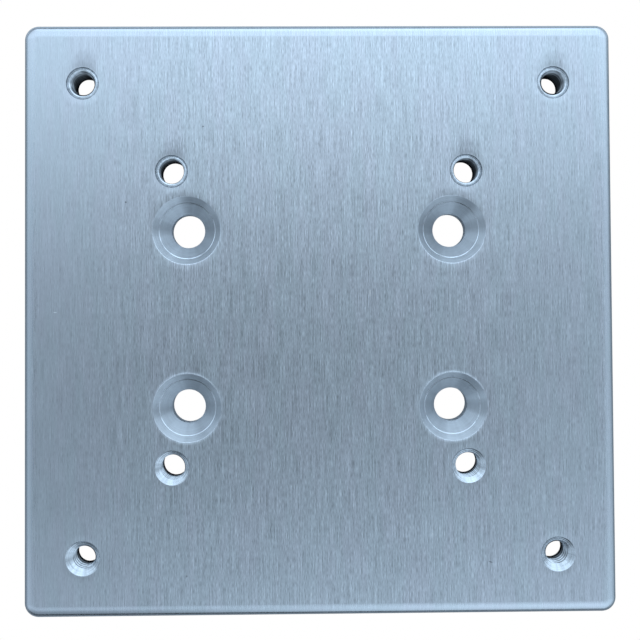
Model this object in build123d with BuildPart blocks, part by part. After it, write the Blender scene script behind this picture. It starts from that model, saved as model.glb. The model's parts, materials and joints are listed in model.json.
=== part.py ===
"""Square aluminium mounting plate with tapped and countersunk screw holes.

The plate is one solid piece. It lies on its back face: the origin is the centre of
the back face, and the countersunk front face looks up, along +Z. All sizes are in
millimetres.
"""

import os

from build123d import *

# Blank
plate_width = 100.0  # along X
plate_length = 100.0  # along Y, the way the faces are brushed
plate_thickness = 5.0
corner_radius = 2.4  # upright edges at the four corners
front_edge_round = 1.5  # rolled edge round the front face
back_edge_break = 0.4  # chamfer round the back face

# Tapped holes, M5 coarse thread
thread_diameter = 5.0
thread_pitch = 0.8
thread_lead_in = 0.3  # how far the front chamfer stands outside the thread, on the radius
thread_chamfer_angle = 120.0

# Holes for countersunk screws, M5
screw_diameter = 5.0
screw_clearance = 0.35  # round the shank, on the radius
screw_head_diameter = 11.2  # to the sharp edge of the head's cone
screw_head_angle = 90.0
screw_head_clearance = 0.2  # round the head, on the radius

# All holes are deburred where they leave the back face
burr_break = 0.2  # on the radius
burr_break_angle = 90.0

# Hole patterns, all centred on the plate
corner_hole_inset = 10.0  # from the plate's sides to the corner holes' axes
inner_hole_pitch_x = 50.0
inner_hole_pitch_y = 50.0
screw_hole_pitch_x = 45.0
screw_hole_pitch_y = 30.0

# Worked out from the sizes above
corner_hole_pitch_x = plate_width - 2 * corner_hole_inset
corner_hole_pitch_y = plate_length - 2 * corner_hole_inset
tap_drill_radius = (thread_diameter - thread_pitch) / 2
thread_mouth_radius = thread_diameter / 2 + thread_lead_in
screw_hole_radius = screw_diameter / 2 + screw_clearance
countersink_radius = screw_head_diameter / 2 + screw_head_clearance
thread_back_radius = tap_drill_radius + burr_break
screw_hole_back_radius = screw_hole_radius + burr_break

front_face = Plane.XY.offset(plate_thickness)
back_face = -Plane.XY
tapped_patterns = [
    (corner_hole_pitch_x, corner_hole_pitch_y),
    (inner_hole_pitch_x, inner_hole_pitch_y),
]

os.makedirs("parts", exist_ok=True)

with BuildPart() as mounting_plate:
    # Blank with rounded corners, a rolled front edge and a broken back edge
    with BuildSketch():
        RectangleRounded(plate_width, plate_length, corner_radius)
    extrude(amount=plate_thickness)
    fillet(mounting_plate.faces().sort_by(Axis.Z)[-1].edges(), front_edge_round)
    chamfer(mounting_plate.faces().sort_by(Axis.Z)[0].edges(), back_edge_break)

    # Tapped holes at the tap drill's size, chamfered in front and deburred at the back
    for face, mouth_radius, mouth_angle in (
        (front_face, thread_mouth_radius, thread_chamfer_angle),
        (back_face, thread_back_radius, burr_break_angle),
    ):
        for pitch_x, pitch_y in tapped_patterns:
            with Locations(face):
                with GridLocations(pitch_x, pitch_y, 2, 2):
                    CounterSinkHole(
                        tap_drill_radius,
                        mouth_radius,
                        counter_sink_angle=mouth_angle,
                    )

    # Clearance holes, countersunk for the screw heads and deburred at the back
    for face, mouth_radius, mouth_angle in (
        (front_face, countersink_radius, screw_head_angle),
        (back_face, screw_hole_back_radius, burr_break_angle),
    ):
        with Locations(face):
            with GridLocations(screw_hole_pitch_x, screw_hole_pitch_y, 2, 2):
                CounterSinkHole(
                    screw_hole_radius,
                    mouth_radius,
                    counter_sink_angle=mouth_angle,
                )

mounting_plate.part.label = "mounting_plate"
export_step(mounting_plate.part, "parts/mounting_plate.step")
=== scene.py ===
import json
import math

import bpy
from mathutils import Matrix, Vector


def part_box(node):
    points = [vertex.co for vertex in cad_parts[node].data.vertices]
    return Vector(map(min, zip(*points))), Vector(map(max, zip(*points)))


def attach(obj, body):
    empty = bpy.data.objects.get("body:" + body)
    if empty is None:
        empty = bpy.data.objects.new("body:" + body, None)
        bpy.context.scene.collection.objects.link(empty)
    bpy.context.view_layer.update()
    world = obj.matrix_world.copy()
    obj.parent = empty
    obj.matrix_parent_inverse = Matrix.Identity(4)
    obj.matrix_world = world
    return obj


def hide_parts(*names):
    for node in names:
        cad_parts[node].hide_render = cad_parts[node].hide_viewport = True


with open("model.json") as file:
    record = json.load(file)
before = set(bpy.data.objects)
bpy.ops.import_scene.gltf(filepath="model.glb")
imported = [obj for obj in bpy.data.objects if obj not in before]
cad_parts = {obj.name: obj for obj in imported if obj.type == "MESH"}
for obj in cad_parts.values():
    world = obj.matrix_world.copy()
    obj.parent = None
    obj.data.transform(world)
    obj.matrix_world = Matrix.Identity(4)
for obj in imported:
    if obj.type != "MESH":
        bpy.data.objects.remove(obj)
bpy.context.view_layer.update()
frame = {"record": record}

# Brushed aluminium mounting plate. It is made here as a workshop makes it: a blank with
# rolled edges is countersunk, drilled and tapped with real helical threads, and then each
# surface gets the finish of the tool that made it. Lengths are in metres, in the frame's
# own axes, and the front face looks up, along +Z.

NODE = "mounting_plate"
MM = 0.001
MERGE = 0.001 * MM  # corners closer together than this are one
TAPPED = ("corner_threads", "inner_threads")
SCREW_HOLES = ("countersunk_holes",)

low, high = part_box(NODE)
mounts = {mount["name"]: mount for mount in frame["record"]["mounts"]}

# Blank, as in the CAD part but for its roll
CORNER_RADIUS = 2.4 * MM
ROLL_WIDTH = 2.1 * MM  # in from the outline, round the front face
ROLL_DEPTH = 1.2 * MM
BACK_EDGE_BREAK = 0.4 * MM
CORNER_STEPS = 16
ROLL_STEPS = 16

# Threads of M5's coarse pitch. The corner holes are tapped tighter than the inner ones.
PITCH = 0.8 * MM
THREAD_RADII = {  # at the crests and at the roots
    "corner_threads": (1.82 * MM, 2.30 * MM),
    "inner_threads": (2.06 * MM, 2.50 * MM),
}
THREAD_TOP = 0.45 * MM  # how far below the front face a thread ends under a beaded mouth
FLANK_ANGLE = math.radians(33)
ROOT_FLAT = PITCH / 8
TAP_CORE_GAP = 0.02 * MM  # how far the tap's core stays inside the bore's wall
THREAD_STARTS = {  # degrees round the -X and the +X hole, for each pattern and each side in Y
    ("corner_threads", 1): (20, 60),
    ("corner_threads", -1): (190, 280),
    ("inner_threads", 1): (340, 300),
    ("inner_threads", -1): (200, 250),
}

# Front mouths of the tapped holes: (radius, height over the front face) in millimetres, from
# the bore out. On the +Y side the tap has raised a bead inside the mouth, below a small step.
# On the -Y side the mouth is a deeper chamfer, cut by hand in small steps.
BEADED_MOUTH = (
    (2.08, -0.34), (2.14, -0.27), (2.22, -0.225), (2.30, -0.185), (2.36, -0.18), (2.44, -0.215),
    (2.52, -0.26), (2.56, -0.30), (2.60, -0.30), (2.74, -0.08), (2.78, -0.03),
)
CHAMFERED_MOUTH = (
    (2.14, -0.58), (2.24, -0.50), (2.36, -0.42), (2.44, -0.39), (2.52, -0.32), (2.64, -0.24),
    (2.72, -0.20), (2.83, -0.11), (2.93, -0.03),
)
MOUTH_RADIUS = CHAMFERED_MOUTH[-1][0] * MM
MOUTH_EDGE = 0.03 * MM  # from a mouth's last step out to the dish round it

# Holes for countersunk screws
SCREW_HOLE_RADIUS = mounts["countersunk_holes"]["dims"]["hole_r_mm"] * MM
COUNTERSINK_RADIUS = 5.8 * MM
CONE_SLOPE = math.radians(45)
BURR_BREAK = 0.1 * MM  # chamfer of every hole where it leaves the back face
TOOL_MARK_RADIUS = 4.7 * MM  # a ring left in each countersink
TOOL_MARK_WIDTH = 0.12 * MM
TOOL_MARK_SLOPE = math.radians(32)
SCRIBE_WIDTH = 0.10 * MM  # a fine groove just outside the -Y pair's mouths
SCRIBE_DEPTH = 0.016 * MM

# Where the brushing has worn the front face round the mouths
LIP = 0.25 * MM  # radius of the rounded edge of each countersink
DISH_WIDTH = 1.2 * MM
DISH_SLOPE = 0.05
DIP = DISH_SLOPE * DISH_WIDTH / 2  # depth of the dish at the mouth

HOLE_STEPS = 96
SMOOTH_ANGLE = math.radians(11)  # faces that meet more flatly than this are shaded as one
OVERRUN = 1.0 * MM  # how far a cutter passes each face


def deselect():
    """Nothing selected, in object mode."""
    bpy.ops.object.select_all(action="DESELECT")


def make_active(piece):
    """Only this piece selected and active."""
    deselect()
    piece.select_set(True)
    bpy.context.view_layer.objects.active = piece


def edit(piece, mode="EDGE"):
    """Into edit mode on one piece, with nothing in its mesh selected."""
    make_active(piece)
    bpy.ops.object.mode_set(mode="EDIT")
    bpy.ops.mesh.select_mode(type=mode)
    bpy.ops.mesh.select_all(action="DESELECT")


def leave_edit():
    """Back to object mode."""
    bpy.ops.object.mode_set(mode="OBJECT")


def select_edges(piece, test):
    """In edit mode: selects the edges whose two ends pass the test, and nothing else."""
    bpy.ops.mesh.select_mode(type="EDGE")
    bpy.ops.mesh.select_all(action="DESELECT")
    leave_edit()
    mesh = piece.data
    for edge in mesh.edges:
        edge.select = test(*[mesh.vertices[v].co for v in edge.vertices])
    bpy.ops.object.mode_set(mode="EDIT")


def half_spacings(name):
    """Half the hole spacings of a bolt pattern, along X and Y."""
    dims = mounts[name]["dims"]
    return dims["spacing_x_mm"] * MM / 2, dims["spacing_y_mm"] * MM / 2


def hole_centres(names):
    """The hole axes of these bolt patterns, as (x, y)."""
    centres = []
    for name in names:
        half_x, half_y = half_spacings(name)
        centres += [(sx * half_x, sy * half_y) for sx in (-1, 1) for sy in (-1, 1)]
    return centres


def rolled_blank():
    """The plate before its holes: rounded corners, a rolled front edge, a broken back edge."""
    deselect()
    middle = (low + high) / 2
    bpy.ops.mesh.primitive_cube_add(size=1, location=middle, scale=high - low)
    blank = bpy.context.object
    blank.name = "brushed_plate"
    bpy.ops.object.transform_apply(location=True, rotation=True, scale=True)
    tiny = 0.01 * MM
    edit(blank)
    select_edges(blank, lambda a, b: abs(a.z - b.z) > tiny)
    bpy.ops.mesh.bevel(offset=CORNER_RADIUS, segments=CORNER_STEPS, affect="EDGES")
    select_edges(blank, lambda a, b: min(a.z, b.z) > high.z - tiny)
    bpy.ops.mesh.bevel(offset=ROLL_WIDTH, segments=ROLL_STEPS, affect="EDGES")
    select_edges(blank, lambda a, b: min(a.z, b.z) > low.z + tiny)
    ratio = ROLL_DEPTH / ROLL_WIDTH
    bpy.ops.transform.resize(value=(1, 1, ratio), center_override=(0, 0, high.z))
    select_edges(blank, lambda a, b: max(a.z, b.z) < low.z + tiny)
    bpy.ops.mesh.bevel(offset=BACK_EDGE_BREAK, segments=1, affect="EDGES")
    leave_edit()
    return blank


def cut(piece, cutter):
    """Cuts the cutter out of the piece, and throws the cutter away."""
    take = piece.modifiers.new("cut", "BOOLEAN")
    take.operation = "DIFFERENCE"
    take.solver = "EXACT"
    take.object = cutter
    make_active(piece)
    bpy.ops.object.modifier_apply(modifier="cut")
    bpy.data.objects.remove(cutter)


def turned_cutter(name, stations):
    """A closed solid turned about Z: stations are (height, radius), from the bottom up."""
    deselect()
    height, radius = stations[0]
    bpy.ops.mesh.primitive_circle_add(
        vertices=HOLE_STEPS, radius=radius, fill_type="NGON", location=(0, 0, 0)
    )
    cutter = bpy.context.object
    cutter.name = name
    bpy.ops.object.mode_set(mode="EDIT")
    bpy.ops.transform.translate(value=(0, 0, height))
    for next_height, next_radius in stations[1:]:
        bpy.ops.mesh.extrude_region_move(
            TRANSFORM_OT_translate={"value": (0, 0, next_height - height)}
        )
        ratio = next_radius / radius
        bpy.ops.transform.resize(value=(ratio, ratio, 1), center_override=(0, 0, 0))
        height, radius = next_height, next_radius
    bpy.ops.mesh.select_all(action="SELECT")
    bpy.ops.mesh.normals_make_consistent(inside=False)
    leave_edit()
    return cutter


def dish(radius):
    """Stations of the shallow dish round a mouth, from the mouth out and over the front face."""
    stations = []
    for share in (1, 0.75, 0.5, 0.25):
        stations.append((high.z - DIP * share**2, radius + DISH_WIDTH * (1 - share)))
    above = 0.001 * MM  # the dish ends just over the face, so that it crosses the face cleanly
    stations.append((high.z + above, radius + DISH_WIDTH))
    stations.append((high.z + OVERRUN, radius + DISH_WIDTH + OVERRUN))
    return stations


def lip(radius, slope):
    """Stations of a small round lip where a cone opens. Unworn, it would open at this radius."""
    centre_radius = radius - DIP / math.tan(slope) + LIP * math.tan(slope / 2)
    stations = []
    for share in (1, 0.8, 0.6, 0.4, 0.2):
        turn = slope * share
        height = high.z - DIP - LIP + LIP * math.cos(turn)
        stations.append((height, centre_radius - LIP * math.sin(turn)))
    return stations, centre_radius


def countersink_stations(scribed):
    """Outline of the cutter for a countersunk hole."""
    mark_rise = TOOL_MARK_WIDTH * math.tan(TOOL_MARK_SLOPE)
    outer_top = high.z - (COUNTERSINK_RADIUS - TOOL_MARK_RADIUS - TOOL_MARK_WIDTH)
    inner_top = outer_top - mark_rise
    edge, edge_radius = lip(COUNTERSINK_RADIUS, CONE_SLOPE)
    around = dish(edge_radius)
    if scribed:
        around.insert(1, (high.z - DIP - SCRIBE_DEPTH, edge_radius + SCRIBE_WIDTH))
    return [
        (low.z - OVERRUN, SCREW_HOLE_RADIUS + BURR_BREAK + OVERRUN),
        (low.z + BURR_BREAK, SCREW_HOLE_RADIUS),
        (inner_top - (TOOL_MARK_RADIUS - SCREW_HOLE_RADIUS), SCREW_HOLE_RADIUS),
        (inner_top, TOOL_MARK_RADIUS),
        (outer_top, TOOL_MARK_RADIUS + TOOL_MARK_WIDTH),
    ] + edge + around


def tapped_mouth_stations(mouth, crest):
    """Outline of the cutter for a tapped hole before its thread: a bore and its front mouth."""
    first_radius, first_height = mouth[0][0] * MM, mouth[0][1] * MM
    return [
        (low.z - OVERRUN, crest + BURR_BREAK + OVERRUN),
        (low.z + BURR_BREAK, crest),
        (high.z + first_height - (first_radius - crest), crest),
    ] + [
        (high.z + height * MM, radius * MM) for radius, height in mouth
    ] + dish(mouth[-1][0] * MM + MOUTH_EDGE)


def tap(crest, root, top):
    """A closed threaded rod that cuts the thread. It is cut off at top, if that is in the plate."""
    deselect()
    bpy.ops.mesh.primitive_plane_add(size=1, location=(0, 0, 0))
    rod = bpy.context.object
    rod.name = "tap"
    bpy.ops.object.mode_set(mode="EDIT")
    bpy.ops.mesh.select_mode(type="VERT")
    bpy.ops.mesh.merge(type="CENTER")
    bpy.ops.transform.translate(value=(crest - TAP_CORE_GAP, 0, low.z - 2 * PITCH))
    rise = root - crest + TAP_CORE_GAP
    flank = rise * math.tan(FLANK_ANGLE)
    crest_flat = PITCH - 2 * flank - ROOT_FLAT
    for out, up in ((0, crest_flat), (rise, flank), (0, ROOT_FLAT), (-rise, flank)):
        bpy.ops.mesh.extrude_region_move(TRANSFORM_OT_translate={"value": (out, 0, up)})
    leave_edit()
    turn = rod.modifiers.new("turn", "SCREW")
    turn.screw_offset = PITCH
    turn.iterations = math.ceil((high.z - low.z) / PITCH) + 4
    turn.steps = turn.render_steps = HOLE_STEPS
    turn.use_merge_vertices = True
    turn.merge_threshold = MERGE
    make_active(rod)
    bpy.ops.object.modifier_apply(modifier="turn")
    edit(rod, "VERT")
    bpy.ops.mesh.select_all(action="SELECT")
    bpy.ops.mesh.remove_doubles(threshold=MERGE)
    for keep_low in (True, False):
        bpy.ops.mesh.select_mode(type="EDGE")
        bpy.ops.mesh.select_all(action="DESELECT")
        bpy.ops.mesh.select_non_manifold(extend=False)
        leave_edit()
        mesh = rod.data
        for edge in mesh.edges:
            z = sum(mesh.vertices[v].co.z for v in edge.vertices) / 2
            edge.select = edge.select and (z < (low.z + high.z) / 2) == keep_low
        bpy.ops.object.mode_set(mode="EDIT")
        bpy.ops.mesh.edge_face_add()
        bpy.ops.mesh.poke()
    bpy.ops.mesh.select_all(action="SELECT")
    bpy.ops.mesh.normals_make_consistent(inside=False)
    leave_edit()
    if top < high.z:
        deselect()
        reach = 4 * root
        bpy.ops.mesh.primitive_cube_add(
            size=1, location=(0, 0, top + reach / 2), scale=(reach, reach, reach)
        )
        end = bpy.context.object
        bpy.ops.object.transform_apply(location=True, rotation=True, scale=True)
        cut(rod, end)
    return rod


def joined(pieces):
    """These pieces as one, with its place in its mesh."""
    deselect()
    for piece in pieces:
        piece.select_set(True)
    bpy.context.view_layer.objects.active = pieces[0]
    bpy.ops.object.join()
    bpy.ops.object.transform_apply(location=True, rotation=True, scale=True)
    return pieces[0]


def copies_at(piece, centres, turns=None):
    """Copies of a cutter at these centres, each with its own mesh, joined into one.

    The cutter itself goes. Turns are in degrees about each axis.
    """
    made = []
    for i, (x, y) in enumerate(centres):
        copy = piece.copy()
        copy.data = piece.data.copy()
        bpy.context.scene.collection.objects.link(copy)
        copy.location = (x, y, 0)
        if turns:
            copy.rotation_euler = (0, 0, math.radians(turns[i]))
        made.append(copy)
    bpy.data.objects.remove(piece)
    return joined(made)


def countersink(plate):
    """All the holes for countersunk screws."""
    cutters = []
    for side in (-1, 1):
        centres = [centre for centre in hole_centres(SCREW_HOLES) if centre[1] * side > 0]
        cutter = turned_cutter("countersink", countersink_stations(scribed=side < 0))
        cutters.append(copies_at(cutter, centres))
    cut(plate, joined(cutters))


def drill_and_tap(plate):
    """All the tapped holes: first every bore with its mouth, then every thread."""
    drills, taps = [], []
    for name in TAPPED:
        crest, root = THREAD_RADII[name]
        for mouth, top, side in (
            (BEADED_MOUTH, high.z - THREAD_TOP, 1),
            (CHAMFERED_MOUTH, high.z + OVERRUN, -1),
        ):
            centres = [centre for centre in hole_centres([name]) if centre[1] * side > 0]
            drill = turned_cutter("drill", tapped_mouth_stations(mouth, crest))
            drills.append(copies_at(drill, centres))
            taps.append(copies_at(tap(crest, root, top), centres, THREAD_STARTS[name, side]))
    cut(plate, joined(drills))
    cut(plate, joined(taps))


# ---------------------------------------------------------------- finish of each surface

FACE, SIDE, CONE, THREAD, TOOL_MARK = range(5)

ALUMINIUM = (0.62, 0.66, 0.70)
ALUMINIUM_LILAC = (0.627, 0.658, 0.705)
ALUMINIUM_CYAN = (0.613, 0.662, 0.70)

# Lines along the brushing of the flat faces: width, length and seed
FINE_LINES = (0.05 * MM, 1.0 * MM, 3.0)
HAIR_LINES = (0.10 * MM, 5.5 * MM, 11.0)
SOFT_LINES = (0.7 * MM, 14 * MM, 23.0)
HUE_LINES = (3 * MM, 14 * MM, 37.0)
FINE_SHARE, HAIR_SHARE, SOFT_SHARE = 0.53, 0.40, 0.07  # in the shade
LEFT_CONTRAST, MIDDLE_CONTRAST, RIGHT_CONTRAST = 0.85, 2.6, 1.9  # along X
ROLL_CONTRAST = 0.4  # of the lines on the rolled edge, against those on the face
FRAY = 2 * MM  # how raggedly the lines end where the roll starts
FRAYED_ZONE = (1.4 * MM, 2.2 * MM)  # in from the outline

# Painted shade past the tapped holes of the +Y side, on both flat faces
SHADE_SPOT_SHIFT = (0.4 * MM, 3.4 * MM, 0)
SHADE_SPOT_REACH = (0.8 * MM, 3 * MM)
SHADE_SPOT_AMOUNT = -0.18

# Lines along the upright sides and rings in the countersinks: width, length and seed. The
# sides' map is in millimetres.
SIDE_FINE_LINES = (0.06, 2.5, 41.0)
SIDE_SOFT_LINES = (0.35, 9.0, 47.0)
CONE_RINGS = (0.09 * MM, 3 * MM, 5.0)

# In the tapped holes, how far below the front face the painted shade fades from full to none. The
# beaded mouths fade twice, and each time has its share.
CHAMFERED_SHADE_DEPTHS = (4.4 * MM, 2.8 * MM)
BEADED_SHADE_DEPTHS = (((2.6 * MM, 0.6 * MM), 0.4), ((0.5 * MM, 0.3 * MM), 0.6))
ROOT_SHADE_DEPTH = (1.0 * MM, 0.85 * MM)  # painted shade stays in the roots below this
ROOT_SHADE_SPAN = (0.05 * MM, 0.19 * MM)  # out from the crests
STEP_SHADE_RADIUS = 2.68 * MM  # a ring of painted shade in the step of the beaded mouths
STEP_SHADE_WIDTH = (0.03 * MM, 0.11 * MM)
ACROSS_MIDDLE = (-10 * MM, 10 * MM)  # from the -Y holes' painted shade to the +Y holes', along Y


def nearest_hole(x, y, names):
    """How far off the nearest hole axis of these patterns is, and where it is."""
    return min((math.hypot(x - cx, y - cy), (cx, cy)) for cx, cy in hole_centres(names))


def sort_surfaces(piece):
    """Gives each face its material slot by its place, and a map in mm with V along the machining."""
    mesh = piece.data
    lay = mesh.uv_layers.new(name="lay")
    tiny = 0.02 * MM
    half_x, half_y = (high.x - low.x) / 2, (high.y - low.y) / 2
    for polygon in mesh.polygons:
        x, y, z = polygon.center
        from_screw, screw = nearest_hole(x, y, SCREW_HOLES)
        from_thread, thread = nearest_hole(x, y, TAPPED)
        axis = None
        flat = abs(polygon.normal.z) > 0.9
        upright = abs(polygon.normal.z) < 0.05
        if z < low.z + MERGE:
            polygon.material_index = FACE
        elif abs(from_screw - TOOL_MARK_RADIUS - TOOL_MARK_WIDTH / 2) < TOOL_MARK_WIDTH / 4:
            polygon.material_index, axis = TOOL_MARK, screw
        elif from_screw < COUNTERSINK_RADIUS - tiny and not flat:
            polygon.material_index, axis = CONE, screw
        elif from_thread < MOUTH_RADIUS - tiny:
            polygon.material_index, axis = THREAD, thread
        elif upright:
            polygon.material_index = SIDE
        else:
            polygon.material_index = FACE
        along_x = half_y - abs(y) < half_x - abs(x)
        middle = math.atan2(y - axis[1], x - axis[0]) if axis else 0
        for loop in polygon.loop_indices:
            corner = mesh.vertices[mesh.loops[loop].vertex_index].co
            if axis:
                angle = math.atan2(corner.y - axis[1], corner.x - axis[0])
                angle = middle + math.remainder(angle - middle, 2 * math.pi)
                radius = math.hypot(corner.x - axis[0], corner.y - axis[1])
                spot = (radius - corner.z, angle * COUNTERSINK_RADIUS)
            elif polygon.material_index == SIDE:
                spot = (corner.z, corner.x if along_x else corner.y)
            else:
                spot = (corner.x, corner.y)
            lay.data[loop].uv = (spot[0] / MM, spot[1] / MM)


def new_group(name, inputs, outputs):
    """An empty shader node group with named sockets. Inputs are (name, type, default)."""
    group = bpy.data.node_groups.new(name, "ShaderNodeTree")
    for label, kind, value in inputs:
        socket = group.interface.new_socket(name=label, in_out="INPUT", socket_type=kind)
        if value is not None:
            socket.default_value = value
    for label, kind in outputs:
        group.interface.new_socket(name=label, in_out="OUTPUT", socket_type=kind)
    return group, group.nodes.new("NodeGroupInput"), group.nodes.new("NodeGroupOutput")


def math_node(tree, operation, *values):
    """A Math node. Each value is a number or a socket. Returns its output."""
    node = tree.nodes.new("ShaderNodeMath")
    node.operation = operation
    for socket, value in zip(node.inputs, values):
        if isinstance(value, (int, float)):
            socket.default_value = value
        else:
            tree.links.new(value, socket)
    return node.outputs[0]


def smooth_step(tree, value, start, end):
    """0 before start and 1 after end, with a soft change between."""
    node = tree.nodes.new("ShaderNodeMapRange")
    node.interpolation_type = "SMOOTHSTEP"
    tree.links.new(value, node.inputs["Value"])
    node.inputs["From Min"].default_value = start
    node.inputs["From Max"].default_value = end
    return node.outputs["Result"]


def brushed_lines_group():
    """Lines drawn out along Y. Their width and length are in the vector's own unit."""
    group, given, result = new_group(
        "brushed_lines",
        [("Vector", "NodeSocketVector", None), ("Width", "NodeSocketFloat", 0.0002),
         ("Length", "NodeSocketFloat", 0.005), ("Seed", "NodeSocketFloat", 0.0)],
        [("Lines", "NodeSocketFloat")],
    )
    nodes, links = group.nodes, group.links
    size = nodes.new("ShaderNodeCombineXYZ")
    links.new(given.outputs["Width"], size.inputs["X"])
    links.new(given.outputs["Length"], size.inputs["Y"])
    links.new(given.outputs["Length"], size.inputs["Z"])
    scaled = nodes.new("ShaderNodeVectorMath")
    scaled.operation = "DIVIDE"
    links.new(given.outputs["Vector"], scaled.inputs[0])
    links.new(size.outputs["Vector"], scaled.inputs[1])
    moved = nodes.new("ShaderNodeVectorMath")
    moved.operation = "ADD"
    links.new(scaled.outputs["Vector"], moved.inputs[0])
    links.new(given.outputs["Seed"], moved.inputs[1])
    noise = nodes.new("ShaderNodeTexNoise")
    noise.inputs["Scale"].default_value = 1
    noise.inputs["Detail"].default_value = 1
    noise.inputs["Roughness"].default_value = 0.6
    links.new(moved.outputs["Vector"], noise.inputs["Vector"])
    links.new(noise.outputs["Fac"], result.inputs["Lines"])
    return group


def hole_polar_group():
    """How far a point is from the nearest axis of a centred hole pattern, and which way round.

    The way's Z is a number that differs from hole to hole.
    """
    group, given, result = new_group(
        "hole_polar",
        [("Vector", "NodeSocketVector", None), ("Half X", "NodeSocketFloat", 0.02),
         ("Half Y", "NodeSocketFloat", 0.02)],
        [("Radius", "NodeSocketFloat"), ("Way", "NodeSocketVector")],
    )
    links = group.links
    split = group.nodes.new("ShaderNodeSeparateXYZ")
    links.new(given.outputs["Vector"], split.inputs[0])
    off = group.nodes.new("ShaderNodeCombineXYZ")
    seed = 0.0
    for axis, seed_per_metre in (("X", 310.0), ("Y", 170.0)):
        side = math_node(group, "SIGN", split.outputs[axis])
        centre = math_node(group, "MULTIPLY", side, given.outputs["Half " + axis])
        links.new(math_node(group, "SUBTRACT", split.outputs[axis], centre), off.inputs[axis])
        seed = math_node(group, "MULTIPLY_ADD", centre, seed_per_metre, seed)
    lift = group.nodes.new("ShaderNodeCombineXYZ")
    links.new(seed, lift.inputs["Z"])
    length, way, seeded = [group.nodes.new("ShaderNodeVectorMath") for _ in range(3)]
    length.operation, way.operation, seeded.operation = "LENGTH", "NORMALIZE", "ADD"
    links.new(off.outputs[0], length.inputs[0])
    links.new(length.outputs["Value"], result.inputs["Radius"])
    links.new(off.outputs[0], way.inputs[0])
    links.new(way.outputs["Vector"], seeded.inputs[0])
    links.new(lift.outputs[0], seeded.inputs[1])
    links.new(seeded.outputs["Vector"], result.inputs["Way"])
    return group


def edge_distance_group():
    """How far a point is inside the plate's outline."""
    group, given, result = new_group(
        "edge_distance",
        [("Vector", "NodeSocketVector", None)],
        [("Distance", "NodeSocketFloat")],
    )
    split = group.nodes.new("ShaderNodeSeparateXYZ")
    group.links.new(given.outputs["Vector"], split.inputs[0])
    inside = []
    for axis, half in (("X", high.x), ("Y", high.y)):
        folded = math_node(group, "ABSOLUTE", split.outputs[axis])
        inside.append(math_node(group, "SUBTRACT", half, folded))
    group.links.new(math_node(group, "MINIMUM", *inside), result.inputs["Distance"])
    return group


LINES = brushed_lines_group()
HOLE_POLAR = hole_polar_group()
EDGE_DISTANCE = edge_distance_group()


def place_group(tree, group, **values):
    """A node that holds the group. Each value is a number or a socket."""
    node = tree.nodes.new("ShaderNodeGroup")
    node.node_tree = group
    for label, value in values.items():
        socket = node.inputs[label.replace("_", " ")]
        if isinstance(value, (int, float)):
            socket.default_value = value
        else:
            tree.links.new(value, socket)
    return node


def drawn_lines(tree, coords, grain):
    """Lines of this grain: its width, length and seed."""
    width, length, seed = grain
    node = place_group(tree, LINES, Vector=coords, Width=width, Length=length, Seed=seed)
    return node.outputs["Lines"]


def reversed_mask(tree, mask):
    """1 where the mask is 0, and 0 where it is 1."""
    return math_node(tree, "SUBTRACT", 1.0, mask)


def object_place(tree):
    """The place in the object's own frame, whole and as its X, Y and Z."""
    coords = tree.nodes.new("ShaderNodeTexCoord").outputs["Object"]
    split = tree.nodes.new("ShaderNodeSeparateXYZ")
    tree.links.new(coords, split.inputs[0])
    return coords, split.outputs


def new_metal(name, colour, roughness, anisotropy):
    """A bare metal material, whose gloss spreads across the lay. Returns it and its shader."""
    material = bpy.data.materials.new(name)
    material.use_nodes = True
    tree = material.node_tree
    shader = tree.nodes["Principled BSDF"]
    shader.inputs["Base Color"].default_value = (*colour, 1)
    shader.inputs["Metallic"].default_value = 1
    shader.inputs["Roughness"].default_value = roughness
    shader.inputs["Anisotropic"].default_value = anisotropy
    tangent = tree.nodes.new("ShaderNodeTangent")
    tangent.direction_type = "UV_MAP"
    tangent.uv_map = "lay"
    tree.links.new(tangent.outputs["Tangent"], shader.inputs["Tangent"])
    return material, tree, shader


def tinted(tree, colour, factor):
    """The colour times a factor that changes over the surface."""
    scale = tree.nodes.new("ShaderNodeVectorMath")
    scale.operation = "SCALE"
    if isinstance(colour, tuple):
        scale.inputs[0].default_value = colour
    else:
        tree.links.new(colour, scale.inputs[0])
    tree.links.new(factor, scale.inputs["Scale"])
    return scale.outputs[0]


def blend(tree, share, start, end):
    """One colour or number turning into another. Each may be a socket."""
    node = tree.nodes.new("ShaderNodeMix")
    colours = isinstance(start, tuple) or isinstance(end, tuple)
    node.data_type = "RGBA" if colours else "FLOAT"
    sockets = [socket for socket in node.inputs if socket.enabled and socket.name in "AB"]
    for socket, value in zip(sockets, (start, end)):
        if isinstance(value, tuple):
            socket.default_value = (*value, 1)
        elif isinstance(value, (int, float)):
            socket.default_value = value
        else:
            tree.links.new(value, socket)
    tree.links.new(share, node.inputs["Factor"])
    return next(socket for socket in node.outputs if socket.enabled)


def hole_polar(tree, coords, name):
    """Radius and way round for one bolt pattern."""
    half_x, half_y = half_spacings(name)
    node = place_group(tree, HOLE_POLAR, Vector=coords, Half_X=half_x, Half_Y=half_y)
    return node.outputs["Radius"], node.outputs["Way"]


def turned_rings(tree, at, radius, grain):
    """Fine rings round a hole's axis."""
    place = tree.nodes.new("ShaderNodeCombineXYZ")
    tree.links.new(radius, place.inputs["X"])
    tree.links.new(at["X"], place.inputs["Y"])
    tree.links.new(at["Y"], place.inputs["Z"])
    return drawn_lines(tree, place.outputs[0], grain)


def chatter(tree, way, count, seed):
    """Streaks across a turned surface, left by a cutter that shook: noise that changes only round it."""
    node = tree.nodes.new("ShaderNodeVectorMath")
    node.operation = "MULTIPLY_ADD"
    tree.links.new(way, node.inputs[0])
    node.inputs[1].default_value = (count, count, count)
    node.inputs[2].default_value = (seed, seed, seed)
    noise = tree.nodes.new("ShaderNodeTexNoise")
    noise.inputs["Scale"].default_value = 1
    noise.inputs["Detail"].default_value = 2
    tree.links.new(node.outputs["Vector"], noise.inputs["Vector"])
    return noise.outputs["Fac"]
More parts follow.
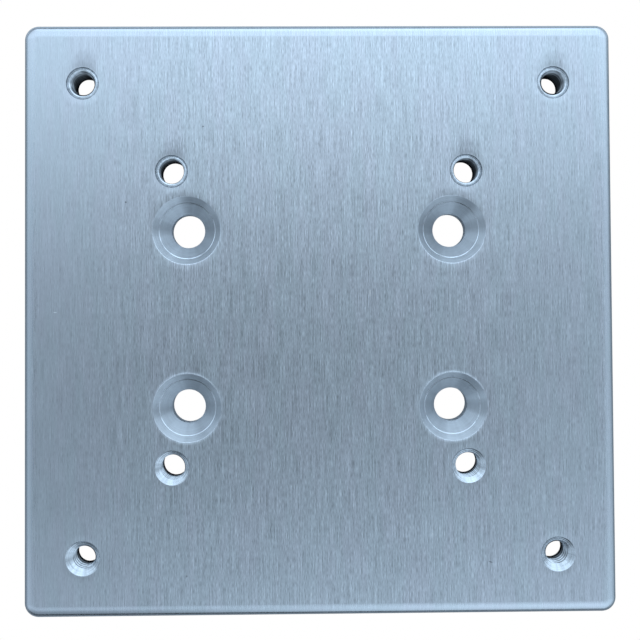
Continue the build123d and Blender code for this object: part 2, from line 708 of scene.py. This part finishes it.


# Small pits and nicks, on both flat faces, with painted shade where they are darker and a painted glint
# where lighter: place, length and width in millimetres, turn in degrees, and how much lighter (more than
# 0) or darker the metal is there
NICKS = (
    ((-19.6, 32.6), (0.32, 0.28), 0, -0.5),
    ((-32.7, 19.8), (0.36, 0.30), -10, -0.5),
    ((-22.6, -43.1), (0.40, 0.26), 90, -0.5),
    ((28.5, -41.2), (0.85, 0.26), -20, -0.4),
    ((-44.6, 1.25), (0.60, 0.22), 0, 0.5),
    ((8.5, 4.2), (1.3, 0.22), 90, 0.55),
)


def nicks(tree, coords, under):
    """Adds the small pits and nicks to a shade, as painted shade and painted glints."""
    for (x, y), (length, width), turn, amount in NICKS:
        place = tree.nodes.new("ShaderNodeMapping")
        place.vector_type = "TEXTURE"
        place.inputs["Location"].default_value = (x * MM, y * MM, 0)
        place.inputs["Rotation"].default_value = (0, 0, math.radians(turn))
        place.inputs["Scale"].default_value = (length / 2 * MM, width / 2 * MM, 1)
        tree.links.new(coords, place.inputs["Vector"])
        off = tree.nodes.new("ShaderNodeVectorMath")
        off.operation = "LENGTH"
        tree.links.new(place.outputs["Vector"], off.inputs[0])
        inside = reversed_mask(tree, smooth_step(tree, off.outputs["Value"], 0.5, 1.2))
        # painted shade where the amount is below 0, a painted glint where it is above
        under = math_node(tree, "MULTIPLY_ADD", inside, amount, under)
    return under


def shade_above_holes(tree, coords, at, under):
    """Adds to a shade the painted shade past the tapped holes of the +Y side."""
    for name in TAPPED:
        moved = tree.nodes.new("ShaderNodeVectorMath")
        moved.operation = "SUBTRACT"
        tree.links.new(coords, moved.inputs[0])
        moved.inputs[1].default_value = SHADE_SPOT_SHIFT
        radius = hole_polar(tree, moved.outputs[0], name)[0]
        shade_spot = reversed_mask(tree, smooth_step(tree, radius, *SHADE_SPOT_REACH))
        # painted shade: a dark spot past each tapped hole, only on the +Y side
        on_plus_y = smooth_step(tree, at["Y"], 0.0, 10 * MM)
        amount = math_node(tree, "MULTIPLY", math_node(tree, "MULTIPLY", shade_spot, on_plus_y), SHADE_SPOT_AMOUNT)
        under = math_node(tree, "ADD", under, amount)
    return under


def brushed_face():
    """The flat faces and the rolled edge: fine lines along Y, frayed where they meet the roll."""
    material, tree, shader = new_metal("brushed_face", ALUMINIUM, 0.34, 0.5)
    coords, at = object_place(tree)
    fine = drawn_lines(tree, coords, FINE_LINES)
    hair = drawn_lines(tree, coords, HAIR_LINES)
    soft = drawn_lines(tree, coords, SOFT_LINES)
    total = math_node(tree, "MULTIPLY", fine, FINE_SHARE)
    total = math_node(tree, "MULTIPLY_ADD", hair, HAIR_SHARE, total)
    total = math_node(tree, "MULTIPLY_ADD", soft, SOFT_SHARE, total)
    grain = math_node(tree, "SUBTRACT", total, 0.5)

    from_edge = place_group(tree, EDGE_DISTANCE, Vector=coords).outputs["Distance"]
    fray = math_node(tree, "SUBTRACT", hair, 0.5)
    inside = smooth_step(tree, math_node(tree, "MULTIPLY_ADD", fray, FRAY, from_edge), *FRAYED_ZONE)

    from_left = smooth_step(tree, at["X"], -50 * MM, -20 * MM)
    to_right = smooth_step(tree, at["X"], 20 * MM, 45 * MM)
    contrast = blend(tree, from_left, LEFT_CONTRAST, MIDDLE_CONTRAST)
    contrast = blend(tree, to_right, contrast, RIGHT_CONTRAST)
    contrast = math_node(tree, "MULTIPLY", contrast, blend(tree, inside, ROLL_CONTRAST, 1.0))

    factor = math_node(tree, "MULTIPLY_ADD", grain, contrast, 1.0)
    # painted shade past the +Y tapped holes, then the nicks
    factor = nicks(tree, coords, shade_above_holes(tree, coords, at, factor))
    hue = smooth_step(tree, drawn_lines(tree, coords, HUE_LINES), 0.35, 0.65)
    hue = blend(tree, hue, ALUMINIUM_LILAC, ALUMINIUM_CYAN)
    tree.links.new(tinted(tree, hue, factor), shader.inputs["Base Color"])
    rough = math_node(tree, "MULTIPLY_ADD", grain, 0.3, blend(tree, inside, 0.2, 0.34))
    tree.links.new(rough, shader.inputs["Roughness"])
    return material


def linished_side():
    """The upright sides: lines along each side."""
    material, tree, shader = new_metal("linished_side", ALUMINIUM, 0.3, 0.5)
    lay = tree.nodes.new("ShaderNodeUVMap")
    lay.uv_map = "lay"
    fine = drawn_lines(tree, lay.outputs["UV"], SIDE_FINE_LINES)
    soft = drawn_lines(tree, lay.outputs["UV"], SIDE_SOFT_LINES)
    factor = math_node(tree, "MULTIPLY_ADD", fine, 0.7, 0.5)
    factor = math_node(tree, "MULTIPLY_ADD", soft, 0.3, factor)
    tree.links.new(tinted(tree, ALUMINIUM, factor), shader.inputs["Base Color"])
    rough = math_node(tree, "MULTIPLY_ADD", fine, 0.2, 0.2)
    tree.links.new(rough, shader.inputs["Roughness"])
    return material


def turned_countersink():
    """The cones and bores of the screw holes: fine rings round each axis, crossed by chatter."""
    material, tree, shader = new_metal("turned_countersink", ALUMINIUM, 0.3, 0.95)
    coords, at = object_place(tree)
    radius, way = hole_polar(tree, coords, "countersunk_holes")
    rings = turned_rings(tree, at, radius, CONE_RINGS)
    streaks = chatter(tree, way, 5.0, 2.0)
    factor = math_node(tree, "MULTIPLY_ADD", rings, 0.3, 0.695)
    factor = math_node(tree, "MULTIPLY_ADD", streaks, 0.25, factor)
    tree.links.new(tinted(tree, ALUMINIUM, factor), shader.inputs["Base Color"])
    return material


def burnished_ring():
    """The ring rubbed bright in each countersink: broken, and darkened by painted shade on its +Y side.
    """
    material, tree, shader = new_metal("burnished_ring", ALUMINIUM, 0.12, 0.0)
    coords = object_place(tree)[0]
    way = hole_polar(tree, coords, "countersunk_holes")[1]
    split = tree.nodes.new("ShaderNodeSeparateXYZ")
    tree.links.new(way, split.inputs[0])
    # painted shade: the ring darker on its +Y side
    unshaded = blend(tree, smooth_step(tree, split.outputs["Y"], 0.2, 0.7), 1.0, 0.35)
    worn = smooth_step(tree, chatter(tree, way, 3.0, 13.0), 0.3, 0.5)
    factor = math_node(tree, "MULTIPLY", unshaded, blend(tree, worn, 0.7, 1.1))
    tree.links.new(tinted(tree, ALUMINIUM, factor), shader.inputs["Base Color"])
    return material


def between_depths(tree, z, depths):
    """0 below the first depth under the front face and 1 above the second."""
    return smooth_step(tree, z, high.z - depths[0], high.z - depths[1])


def hole_depth_shade(tree, at):
    """Painted shade in a tapped hole by its depth alone, from 0 for full shade to 1 for none."""
    chamfered_lit = between_depths(tree, at["Z"], CHAMFERED_SHADE_DEPTHS)
    beaded_lit = 0.0
    for depths, share in BEADED_SHADE_DEPTHS:
        beaded_lit = math_node(tree, "MULTIPLY_ADD", between_depths(tree, at["Z"], depths), share, beaded_lit)
    return blend(tree, smooth_step(tree, at["Y"], *ACROSS_MIDDLE), chamfered_lit, beaded_lit)


def shaded_roots(tree, at, corner, inner):
    """Painted shade of the thread: its roots are darkened below a depth, so its crests read bright."""
    outs = []
    for name, radius in (("corner_threads", corner), ("inner_threads", inner)):
        outs.append(math_node(tree, "SUBTRACT", radius, THREAD_RADII[name][0]))
    out = blend(tree, math_node(tree, "LESS_THAN", inner, corner), *outs)
    below = reversed_mask(tree, between_depths(tree, at["Z"], ROOT_SHADE_DEPTH))
    # painted shade in the roots, below a depth
    root_shade = math_node(tree, "MULTIPLY", smooth_step(tree, out, *ROOT_SHADE_SPAN), below)
    return blend(tree, root_shade, 1.1, 0.4)


def shaded_step(tree, at, corner, inner):
    """Painted shade of a ring in the step of the beaded mouths, on the +Y side."""
    radius = math_node(tree, "MINIMUM", corner, inner)
    off = math_node(tree, "ABSOLUTE", math_node(tree, "SUBTRACT", radius, STEP_SHADE_RADIUS))
    # painted shade: a dark ring in the step, only on the +Y side
    unshaded = smooth_step(tree, off, *STEP_SHADE_WIDTH)
    unshaded = blend(tree, smooth_step(tree, at["Y"], *ACROSS_MIDDLE), 1.0, unshaded)
    return blend(tree, unshaded, 0.55, 1.0)


def cut_thread():
    """The tapped holes: bright at the mouth, with painted shade that deepens further down and in the
    thread's roots.
    """
    material, tree, shader = new_metal("cut_thread", ALUMINIUM, 0.25, 0.0)
    coords, at = object_place(tree)
    corner, corner_way = hole_polar(tree, coords, "corner_threads")
    inner, inner_way = hole_polar(tree, coords, "inner_threads")
    # painted shade: darker with depth in the hole, and sooner in the +Y holes
    shade = blend(tree, hole_depth_shade(tree, at), 0.06, 0.97)
    streaks = blend(tree, math_node(tree, "LESS_THAN", inner, corner),
                    chatter(tree, corner_way, 4.0, 7.0), chatter(tree, inner_way, 4.0, 9.0))
    for factor in (
        math_node(tree, "MULTIPLY_ADD", streaks, 0.8, 0.58),
        # painted shade in the thread's roots
        shaded_roots(tree, at, corner, inner),
        # painted shade in the step of the +Y mouths
        shaded_step(tree, at, corner, inner),
    ):
        shade = math_node(tree, "MULTIPLY", shade, factor)
    tree.links.new(tinted(tree, ALUMINIUM, shade), shader.inputs["Base Color"])
    return material


plate = rolled_blank()
countersink(plate)
drill_and_tap(plate)

plate.data.materials.clear()
for finish in (brushed_face, linished_side, turned_countersink, cut_thread, burnished_ring):
    plate.data.materials.append(finish())
sort_surfaces(plate)

make_active(plate)
bpy.ops.object.shade_smooth_by_angle(angle=SMOOTH_ANGLE)
weigh = plate.modifiers.new("weigh", "WEIGHTED_NORMAL")
weigh.keep_sharp = True
bpy.ops.object.modifier_apply(modifier="weigh")

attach(plate, "root")
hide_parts(NODE)


# ---------------------------------------------------------------- floor, light and camera

FLOOR_SIZE = 6
SHADED_NEAR_FLOOR = (0.35, 0.35, 0.35)  # painted shade: the darker grey the metal sees of the floor under and round the plate, up to its +Y edge
LIT_FAR_FLOOR = (0.75, 0.75, 0.75)  # painted light: the lighter grey beyond it


def lay_floor():
    """A plain white floor. It glows for the camera. To the metal above it, it is a dull grey with
    painted shade up to the plate's +Y edge and painted light beyond.
    """
    deselect()
    bpy.ops.mesh.primitive_plane_add(size=FLOOR_SIZE, location=(0, 0, low.z - 0.01 * MM))
    floor = bpy.context.object
    floor.name = "floor"
    paint = bpy.data.materials.new("floor_paint")
    paint.use_nodes = True
    tree = paint.node_tree
    tree.nodes.clear()
    out = tree.nodes.new("ShaderNodeOutputMaterial")
    mix = tree.nodes.new("ShaderNodeMixShader")
    glow = tree.nodes.new("ShaderNodeEmission")
    dull = tree.nodes.new("ShaderNodeBsdfDiffuse")
    # painted shade under and round the plate, painted light beyond its +Y edge
    far = smooth_step(tree, object_place(tree)[1]["Y"], high.y + 1 * MM, high.y + 5 * MM)
    tree.links.new(blend(tree, far, SHADED_NEAR_FLOOR, LIT_FAR_FLOOR), dull.inputs["Color"])
    seen = tree.nodes.new("ShaderNodeLightPath").outputs["Is Camera Ray"]
    tree.links.new(seen, mix.inputs["Fac"])
    tree.links.new(dull.outputs[0], mix.inputs[1])
    tree.links.new(glow.outputs[0], mix.inputs[2])
    tree.links.new(mix.outputs[0], out.inputs["Surface"])
    floor.data.materials.append(paint)


# Brightness of the studio along a sweep over the plate, from -Y over the top to +Y
SWEEP = (
    (-90, 0.60), (-60, 0.63), (-45, 0.62), (-35, 0.69), (-24, 0.615), (-14, 0.296), (-6, 0.248),
    (2, 0.32), (10, 0.66), (15, 1.0), (20, 1.27), (30, 1.17), (42, 1.15), (50, 1.24), (58, 1.45),
    (66, 1.65), (75, 1.0), (90, 0.8),
)
# Brightness low down all round, by the angle from +X towards +Y
SURROUND = (
    (-180, 0.28), (-165, 0.31), (-150, 0.36), (-135, 0.30), (-120, 0.14), (-105, 0.08), (-90, 0.09),
    (-75, 0.13), (-60, 0.21), (-45, 0.44), (-30, 0.60), (-15, 0.53), (0, 0.35), (15, 0.41),
    (30, 0.51), (45, 0.45), (60, 0.45), (90, 0.39), (105, 0.36), (120, 0.36), (135, 0.35),
    (150, 0.40), (165, 0.34), (180, 0.28),
)
# Soft patches of more or less light: where from, how far they reach in degrees, how much
PATCHES = (
    ((0.28, -0.85, 0.5), 30, 0.26),
    ((0.45, -0.45, 0.77), 36, 0.21),
    ((0.5, 0.5, 0.7), 48, 0.13),
    ((0.0, -0.12, 1.0), 26, -0.035),
    ((-0.42, -0.9, 0.3), 34, -0.32),
    ((-0.45, 0.85, 0.25), 26, -0.18),
    ((-0.45, 0.0, 0.89), 24, 0.06),
)
LEFT_LIGHT = 0.88
RIGHT_LIGHT = 0.95
SIDE_SHARE = 0.5  # of the light at the sides, against that of the sweep
DIMMEST = 0.05
LIGHT_TINT = (0.805, 1.0, 1.2)
ZENITH_TINT = (0.845, 1.0, 1.15)  # less cool, straight above


def soft_patch(tree, direction, towards, reach, amount, under):
    """Adds an amount of light round one direction to what is under it."""
    node = tree.nodes.new("ShaderNodeVectorMath")
    node.operation = "DOT_PRODUCT"
    tree.links.new(direction, node.inputs[0])
    length = math.hypot(*towards)
    node.inputs[1].default_value = [part / length for part in towards]
    glow = smooth_step(tree, node.outputs["Value"], math.cos(math.radians(reach)), 1.0)
    return math_node(tree, "MULTIPLY_ADD", glow, amount, under)


def ramp_of_stops(tree, place, values, to_place):
    """A ramp through these (angle, brightness) pairs. to_place turns an angle into 0 to 1."""
    ramp = tree.nodes.new("ShaderNodeValToRGB")
    tree.links.new(place, ramp.inputs["Fac"])
    stops = ramp.color_ramp.elements
    while len(stops) > 1:
        stops.remove(stops[-1])
    for i, (angle, value) in enumerate(values):
        stop = stops[0] if i == 0 else stops.new(to_place(angle))
        stop.position = to_place(angle)
        stop.color = (value, value, value, 1)
    return ramp.outputs["Color"]


def light_studio():
    """Soft light from all round: brightest over +Y, dimmest straight above and near the floor."""
    world = bpy.data.worlds.new("studio")
    bpy.context.scene.world = world
    world.use_nodes = True
    tree = world.node_tree
    back = tree.nodes["Background"]
    direction = tree.nodes.new("ShaderNodeTexCoord").outputs["Generated"]
    split = tree.nodes.new("ShaderNodeSeparateXYZ")
    tree.links.new(direction, split.inputs[0])
    half = math_node(tree, "MULTIPLY_ADD", split.outputs["Y"], 0.5, 0.5)
    sweep = ramp_of_stops(tree, half, SWEEP, lambda angle: (math.sin(math.radians(angle)) + 1) / 2)
    turn = math_node(tree, "ARCTAN2", split.outputs["Y"], split.outputs["X"])
    turn = math_node(tree, "MULTIPLY_ADD", turn, 0.5 / math.pi, 0.5)
    surround = ramp_of_stops(tree, turn, SURROUND, lambda angle: angle / 360 + 0.5)
    sideways = smooth_step(tree, math_node(tree, "ABSOLUTE", split.outputs["X"]), 0.3, 0.9)
    side = blend(tree, smooth_step(tree, split.outputs["X"], -0.3, 0.3), LEFT_LIGHT, RIGHT_LIGHT)
    light = blend(tree, math_node(tree, "MULTIPLY", sideways, SIDE_SHARE), sweep, side)
    up = smooth_step(tree, split.outputs["Z"], 0.1, 0.36)
    light = blend(tree, up, surround, light)
    for patch in PATCHES:
        light = soft_patch(tree, direction, *patch, light)
    light = math_node(tree, "MAXIMUM", light, DIMMEST)
    tint = blend(tree, smooth_step(tree, split.outputs["Z"], 0.93, 0.995), LIGHT_TINT, ZENITH_TINT)
    tree.links.new(tinted(tree, tint, light), back.inputs["Color"])


def place_camera():
    """Looks almost straight down from 140 mm above the front face."""
    camera = bpy.data.objects.new("camera", bpy.data.cameras.new("camera"))
    bpy.context.scene.collection.objects.link(camera)
    camera.data.sensor_width = 36
    camera.data.lens = 46.48
    camera.data.shift_x = 0.0184
    camera.data.shift_y = -0.0608
    camera.data.clip_start = 0.005
    camera.location = (-0.003857, 0.00367, high.z + 0.1397)
    camera.rotation_euler = [math.radians(turn) for turn in (1.0816, -0.7730, -0.3355)]
    bpy.context.scene.camera = camera


lay_floor()
light_studio()
place_camera()
bpy.context.scene.view_settings.view_transform = "Standard"
